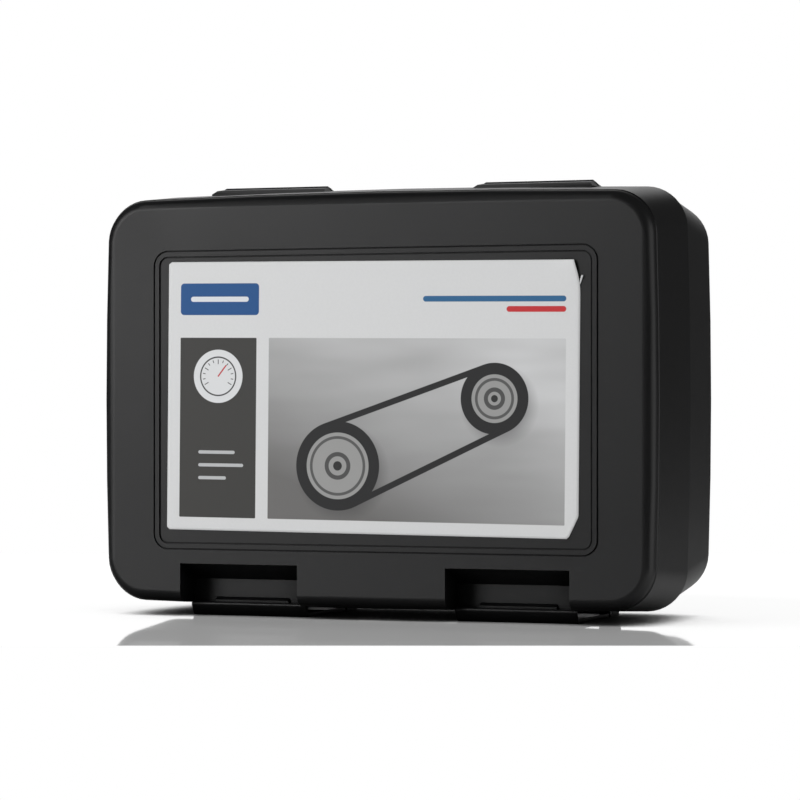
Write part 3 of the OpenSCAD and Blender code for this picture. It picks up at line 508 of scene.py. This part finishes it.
# The display: a satin bezel, a clear window with a polished face, and a reflective panel
# behind it with the pale ghosts of its segments.
bezel_paint = moulded("bezel_silver", (0.45, 0.47, 0.49), 0.35, 0.0003, 0.000004, 0.2, Metallic=0.6)
finish_node("tester_bezel", bezel_paint, 0.0002)
clear, tree, shader, point = new_material("window_clear", Transmission_Weight=1.0, IOR=1.49, Roughness=0.03)
smear = add(tree, "TexNoise", {"Vector": point, "Scale": 60.0, "Detail": 3.0}).outputs["Fac"]
tree.links.new(add(tree, "MapRange", {"Value": smear, "To Min": 0.01, "To Max": 0.07}).outputs[0],
               shader.inputs["Roughness"])
tree.links.new(blend_colour(tree, smear, (0.93, 0.95, 0.95), (0.97, 0.98, 0.98)), shader.inputs["Base Color"])
finish_node("tester_display_window", clear, 0.0001)
panel, tree, shader, point = new_material("display", Specular_IOR_Level=0.4)
fleck = add(tree, "TexNoise", {"Vector": point, "Scale": 2500.0, "Detail": 1.0}).outputs["Fac"]
glass = blend_colour(tree, fleck, (0.3, 0.35, 0.28), (0.42, 0.47, 0.39))
low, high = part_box("tester_display_panel")
at = add(tree, "SeparateXYZ", {0: point}).outputs
across, upward = high.x - low.x, high.z - low.z
wide, tall = across * 0.085, upward * 0.13
bar_half = 0.00042
strokes = []
for k in range(4):  # four figures of seven bars, then a row of small bars and two marks below
    x = (low.x + high.x) / 2 + (k - 1.5) * wide * 2.55
    z = (low.z + high.z) / 2 + tall * 0.9
    strokes += [(x, z + side * tall, wide * 0.72, bar_half) for side in (-1, 0, 1)]
    strokes += [(x + a * wide * 0.86, z + b * tall / 2, bar_half, tall * 0.42)
                for a in (-1, 1) for b in (-1, 1)]
strokes += [(low.x + across * (0.14 + 0.065 * k), low.z + upward * 0.2, 0.0006, 0.0011) for k in range(12)]
strokes += [(high.x - wide * 1.3, low.z + upward * h, wide * 0.6, 0.0006) for h in (0.1, 0.32)]
for x, z, half_w, half_h in strokes:
    bar = place_group(tree, box_mask, {"Across": at["X"], "Up": at["Z"], "Middle across": x, "Middle up": z,
                      "Half width": half_w, "Half height": half_h, "Corner": 0.0003})["Mask"]
    glass = blend_colour(tree, calc(tree, "MULTIPLY", bar, 0.42), glass, (0.1, 0.12, 0.1))
tree.links.new(glass, shader.inputs["Base Color"])
tree.links.new(add(tree, "MapRange", {"Value": fleck, "To Min": 0.25, "To Max": 0.4}).outputs[0],
               shader.inputs["Roughness"])
finish_node("tester_display_panel", panel, 0.0001)

# The circuit boards, glass fibre under a green solder mask with a faint weave and traces.
board, tree, shader, point = new_material("board", Specular_IOR_Level=0.5)
weave = add(tree, "TexWave", {"Vector": point, "Scale": 600.0, "Distortion": 0.5}).outputs["Fac"]
trace = add(tree, "TexBrick", {"Vector": point, "Scale": 260.0}).outputs["Fac"]
tree.links.new(blend_colour(tree, calc(tree, "MULTIPLY", weave, trace),
                            (0.012, 0.1, 0.045), (0.03, 0.19, 0.08)), shader.inputs["Base Color"])
tree.links.new(add(tree, "MapRange", {"Value": weave, "To Min": 0.28, "To Max": 0.4}).outputs[0],
               shader.inputs["Roughness"])
finish_node("tester_circuit_board", board, 0.0001)
finish_node("head_circuit_board", board, 0.0001)

# The keys, moulded caps over one rubber mat: red to switch on, grey up and down, green to enter.
mat_rubber = moulded("keypad_rubber", (0.05, 0.05, 0.054), 0.7, 0.0004, 0.00001, 0.2)
finish_node("tester_keypad_mat", mat_rubber, 0.0002)
thin = 0.00022
key_grey = (0.13, 0.14, 0.15)
for key, colour, strokes in (
        ("power", (0.42, 0.025, 0.025), ((0, 0, thin, 0.0016, 0.0),)),
        ("up", key_grey, ((-0.0007, 0, 0.0012, thin, 0.8), (0.0007, 0, 0.0012, thin, -0.8))),
        ("down", key_grey, ((-0.0007, 0, 0.0012, thin, -0.8), (0.0007, 0, 0.0012, thin, 0.8))),
        ("enter", (0.04, 0.2, 0.08), ((-0.0009, -0.0003, 0.0007, thin, -0.8), (0.0005, 0, 0.0014, thin, 0.9)))):
    cap = moulded("key_" + key, colour, 0.32, 0.0006, 0.000006, 0.15)
    tree = cap.node_tree
    shader = tree.nodes["Principled BSDF"]
    at = add(tree, "SeparateXYZ", {0: tree.nodes["Texture Coordinate"].outputs["Object"]}).outputs
    low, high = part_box("tester_key_" + key)
    ink = shader.inputs["Base Color"].links[0].from_socket
    for x, z, half_w, half_h, turn in strokes:
        printed = place_group(tree, box_mask, {
            "Across": at["X"], "Up": at["Z"], "Middle across": (low.x + high.x) / 2 + x,
            "Middle up": (low.z + high.z) / 2 + z, "Half width": half_w, "Half height": half_h,
            "Corner": 0.0001, "Turn": turn})["Mask"]
        ink = blend_colour(tree, printed, ink, (0.75, 0.75, 0.75))
    tree.links.new(ink, shader.inputs["Base Color"])
    finish_node("tester_key_" + key, cap, 0.0004)

# Two round cells in printed sleeves, between plated spring contacts, and the housing screws.
sleeve = moulded("battery", (0.5, 0.3, 0.07), 0.3, 0.0008, 0.000004, 0.1)
finish_node("tester_batteries", sleeve, 0.0003)
plated = moulded("contact_metal", (0.6, 0.6, 0.57), 0.3, 0.0006, 0.000003, 0.1, Metallic=1.0)
finish_node("tester_battery_contacts", plated, 0)
zinc = moulded("screw_steel", (0.5, 0.5, 0.51), 0.34, 0.0006, 0.000004, 0.1, Metallic=1.0)
finish_node("tester_screws", zinc, 0.0002)
socket_plastic = moulded("socket_grey", (0.13, 0.14, 0.15), 0.45, 0.0004, 0.000008, 0.2)
finish_node("tester_probe_socket", socket_plastic, 0.0003)

# The measuring head: an anodised tube with a turned nose, a tinted lens over two emitters,
# a ribbed rubber grip and a rubber gland at its tail.
anodised = moulded("head_black", (0.03, 0.03, 0.033), 0.36, 0.0003, 0.000004, 0.3, Metallic=0.5)
finish_node("head_tube", anodised, 0.0002)
turned, tree, shader, point = new_material("nose_metal", Metallic=1.0)
rings = add(tree, "TexWave", {"Vector": point, "Scale": 900.0, "Distortion": 1.5, "Detail": 2.0},
            bands_direction="Z").outputs["Fac"]
tree.links.new(blend_colour(tree, rings, (0.5, 0.51, 0.53), (0.66, 0.67, 0.69)), shader.inputs["Base Color"])
tree.links.new(add(tree, "MapRange", {"Value": rings, "To Min": 0.24, "To Max": 0.36}).outputs[0],
               shader.inputs["Roughness"])
raise_surface(tree, shader, rings, 0.000006)
finish_node("head_nose_ring", turned, 0.0003, 40)
tinted, tree, shader, point = new_material("lens_red", Transmission_Weight=0.9, IOR=1.5)
smear = add(tree, "TexNoise", {"Vector": point, "Scale": 80.0, "Detail": 3.0}).outputs["Fac"]
tree.links.new(blend_colour(tree, smear, (0.4, 0.02, 0.02), (0.5, 0.04, 0.035)), shader.inputs["Base Color"])
tree.links.new(add(tree, "MapRange", {"Value": smear, "To Min": 0.02, "To Max": 0.08}).outputs[0],
               shader.inputs["Roughness"])
finish_node("head_lens", tinted, 0)
emitter_plastic = moulded("emitter_clear", (0.7, 0.68, 0.68), 0.2, 0.0005, 0.000002, 0.1)
finish_node("head_emitters", emitter_plastic, 0.0002)
grip_rubber = moulded("grip_rubber", (0.05, 0.05, 0.053), 0.75, 0.0004, 0.00002, 0.3)
finish_node("head_grip_sleeve", grip_rubber, 0.0003)
gland_rubber = moulded("gland_rubber", (0.035, 0.035, 0.037), 0.7, 0.0004, 0.00002, 0.3)
finish_node("head_cable_gland", gland_rubber, 0.0004)

# The table: a sheet of polished white acrylic that ends a hand's breadth in front of the case.
# It mirrors what stands on it. A painted shadow darkens it and fades its mirror in the narrow gap under the
# case, and painted shade makes it dark grey in front of the case where gloss sees it.
forward = Vector((-math.sin(camera_turn), math.cos(camera_turn), 0))
sideways = Vector((math.cos(camera_turn), math.sin(camera_turn), 0))
table_half, table_depth, camera_to_table = 0.6, 0.75, 1.2632
near_edge = Vector(camera.location) + forward * camera_to_table
near_edge.z = 0
corners = [near_edge - sideways * table_half, near_edge + sideways * table_half,
           near_edge + sideways * table_half + forward * table_depth,
           near_edge - sideways * table_half + forward * table_depth]
data = bpy.data.meshes.new("table")
data.from_pydata([tuple(c) for c in corners], [], [(0, 1, 2, 3)])
table = bpy.data.objects.new("table", data)
table.location.z = -0.0002
bpy.context.scene.collection.objects.link(table)
acrylic = bpy.data.materials.new("white_acrylic")
acrylic.use_nodes = True
tree = acrylic.node_tree
tree.nodes.clear()
place = add(tree, "SeparateXYZ", {0: add(tree, "TexCoord").outputs["Object"]}).outputs
open_sky = add(tree, "AmbientOcclusion", {"Distance": 0.06}, samples=8).outputs["AO"]
# painted contact shadow: where ambient occlusion finds the case close by, the table's colour goes dark, its
# mirror fades and its glow drops
outside_painted_shadow = add(tree, "MapRange", {"Value": open_sky, "From Min": 0.1, "From Max": 0.55}).outputs[0]
ways = add(tree, "LightPath").outputs
in_front = calc(tree, "MULTIPLY", calc(tree, "LESS_THAN", place["Y"], -0.03),
                add(tree, "MapRange", {"Value": place["X"], "From Min": 0.15, "From Max": 0.11}).outputs[0])
# painted shade: seen in gloss, the table in front of the case turns dark grey and mirrors little
painted_gloss_shade = calc(tree, "MULTIPLY", in_front, ways["Is Glossy Ray"])
plain = blend_colour(tree, painted_gloss_shade, (0.93, 0.93, 0.93), (0.15, 0.15, 0.15))
white = add(tree, "BsdfDiffuse", {"Color": blend_colour(tree, outside_painted_shadow, (0.05, 0.05, 0.05), plain)})
gloss = add(tree, "BsdfGlossy", {"Color": (1, 1, 1, 1), "Roughness": 0.04})
slant = add(tree, "MapRange", {"Value": add(tree, "LayerWeight", {"Blend": 0.5}).outputs["Facing"],
                               "From Min": 0.7, "From Max": 0.92}).outputs[0]
mirror = calc(tree, "MULTIPLY", calc(tree, "POWER", outside_painted_shadow, 2.0), calc(tree, "MULTIPLY_ADD", painted_gloss_shade, -0.64, 0.72))
mirror = calc(tree, "MULTIPLY", mirror, calc(tree, "MULTIPLY_ADD", slant, 0.9, 0.1))
mixed = add(tree, "MixShader", {0: mirror, 1: white.outputs[0], 2: gloss.outputs[0]})
reach = calc(tree, "SQRT", calc(tree, "ADD",
             calc(tree, "POWER", calc(tree, "MULTIPLY", place["X"], 0.7), 2.0),
             calc(tree, "POWER", place["Y"], 2.0)))
clear_of = add(tree, "MapRange", {"Value": reach, "From Min": 0.18, "From Max": 0.3,
                                  "To Max": 0.1}).outputs[0]
from_above = calc(tree, "SUBTRACT", 1.0, slant)
near_glow = calc(tree, "MULTIPLY", outside_painted_shadow, calc(tree, "MULTIPLY_ADD", from_above, 0.22, 0.11))
glow = calc(tree, "ADD", near_glow, clear_of)
lifted = add(tree, "Emission", {"Color": (1, 1, 1, 1),
             "Strength": calc(tree, "MULTIPLY", glow, ways["Is Camera Ray"])})
summed = add(tree, "AddShader", {0: mixed.outputs[0], 1: lifted.outputs[0]})
tree.links.new(summed.outputs[0], add(tree, "OutputMaterial").inputs[0])
data.materials.append(acrylic)

# The studio: a white room that one large soft box lights from the left. Gloss mirrors its white
# back wall, a small lamp beside the camera, a white card on the right and little else.
world = bpy.data.worlds.new("studio")
bpy.context.scene.world = world
world.use_nodes = True
tree = world.node_tree
tree.nodes.clear()
ways = add(tree, "LightPath").outputs
seen = calc(tree, "MAXIMUM", ways["Is Camera Ray"], ways["Is Transmission Ray"])
direction = add(tree, "TexCoord").outputs["Generated"]


def share_along(way):
    return add(tree, "VectorMath", {0: direction, 1: way}, operation="DOT_PRODUCT").outputs["Value"]


def patch_towards(way, core, rim, strength):
    """A round patch of light of this strength that fades out between two angles in degrees."""
    return add(tree, "MapRange", {"Value": share_along(Vector(way).normalized()),
               "From Min": math.cos(math.radians(rim)), "From Max": math.cos(math.radians(core)),
               "To Max": strength}, interpolation_type="SMOOTHSTEP").outputs[0]


beside = calc(tree, "ABSOLUTE", share_along(sideways))
ahead = share_along(forward)
overhead = add(tree, "SeparateXYZ", {0: direction}).outputs["Z"]
back_wall = calc(tree, "GREATER_THAN", ahead, 0.6)
for value, far, near in ((beside, 0.39, 0.2), (overhead, 0.9, 0.2)):
    fade = add(tree, "MapRange", {"Value": value, "From Min": far, "From Max": near},
               interpolation_type="SMOOTHSTEP")
    back_wall = calc(tree, "MULTIPLY", back_wall, fade.outputs[0])
mirrored = calc(tree, "MAXIMUM", 0.045, calc(tree, "MAXIMUM", back_wall,
                calc(tree, "MAXIMUM", patch_towards((0.99, -0.14, 0), 17, 32, 1.0),
                     patch_towards((-0.56, -0.81, 0.2), 8, 17, 4.7))))
shown = calc(tree, "MAXIMUM", seen, calc(tree, "MULTIPLY", ways["Is Glossy Ray"], mirrored))
plain = add(tree, "Background", {"Color": (1, 1, 1, 1), "Strength": 0.62})
white = add(tree, "Background", {"Color": (1, 1, 1, 1), "Strength": shown})
either = calc(tree, "MAXIMUM", seen, ways["Is Glossy Ray"])
mixed = add(tree, "MixShader", {0: either, 1: plain.outputs[0], 2: white.outputs[0]})
tree.links.new(mixed.outputs[0], add(tree, "OutputWorld").inputs[0])

light = bpy.data.lights.new("soft_box_left", "AREA")
light.shape = "RECTANGLE"
light.size = 1.2
light.size_y = 1.2
light.energy = 11.3
lamp = bpy.data.objects.new("soft_box_left", light)
lamp_spot, lamp_aim = Vector((-0.94, -1.1, 0.61)), Vector((0, -0.05, 0.1))
lamp.location = lamp_spot
lamp.rotation_euler = (lamp_aim - lamp_spot).to_track_quat("-Z", "Y").to_euler()
lamp.visible_glossy = False
bpy.context.scene.collection.objects.link(lamp)
